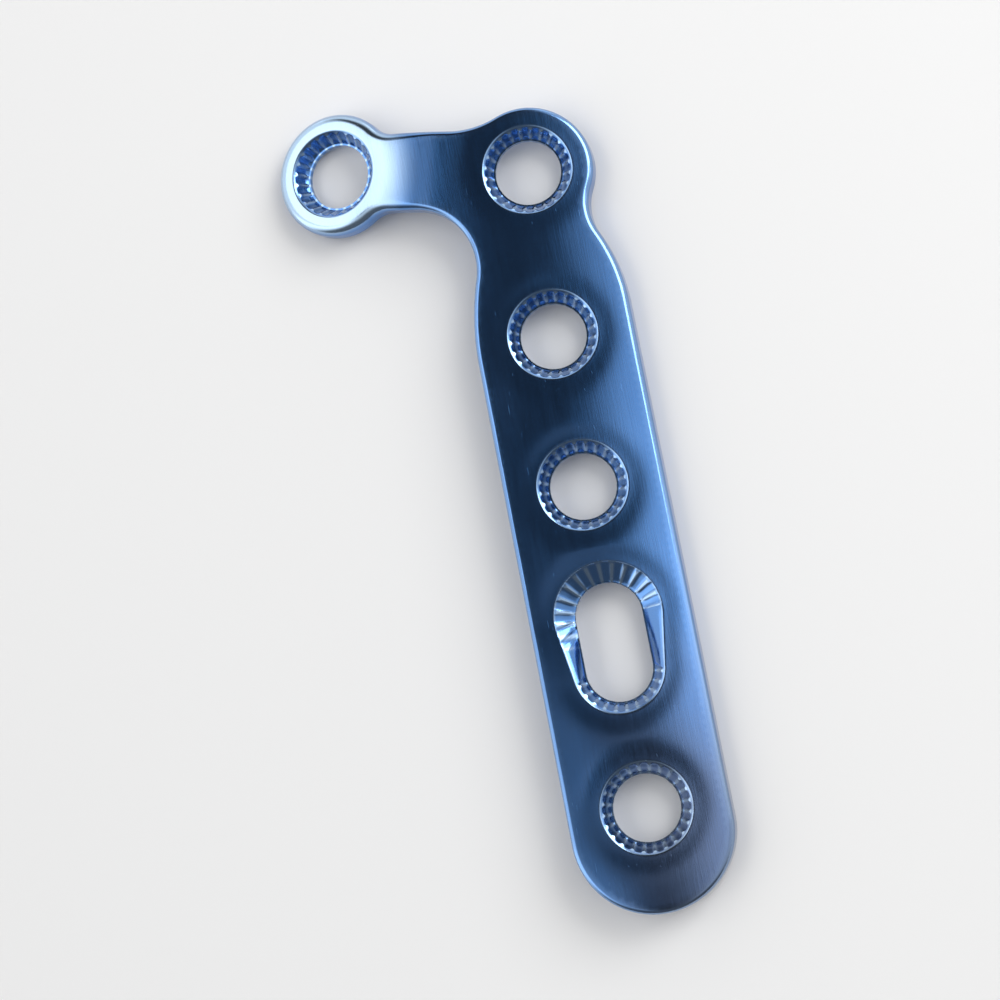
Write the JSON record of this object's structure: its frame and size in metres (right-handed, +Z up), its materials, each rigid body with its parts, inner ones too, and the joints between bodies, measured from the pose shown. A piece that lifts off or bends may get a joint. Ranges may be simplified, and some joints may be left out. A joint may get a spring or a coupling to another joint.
{
  "type": "orthopedic bone plate",
  "caption": "L-shaped contoured locking bone plate: shaft with round screw holes and a keyhole slot, lobed head and an arm ending in a bent ring, blue anodised titanium.",
  "frame": {"origin": "centre of the plate's footprint on the surface it lies on, underside down", "axes": "+Y along the shaft towards the head, +Z up from the bone side to the screw-head side, +X away from the arm; the plate is rolled a little about Y, as it rests on the ring's rim and on the shaft's right lower edge"},
  "size_m": [0.0368, 0.0946, 0.0048],
  "materials": {
    "anodised_titanium": "blue anodised titanium, finely brushed along the shaft"
  },
  "bodies": {
    "root": {"bone_plate": "anodised_titanium"}
  },
  "joints": []
}
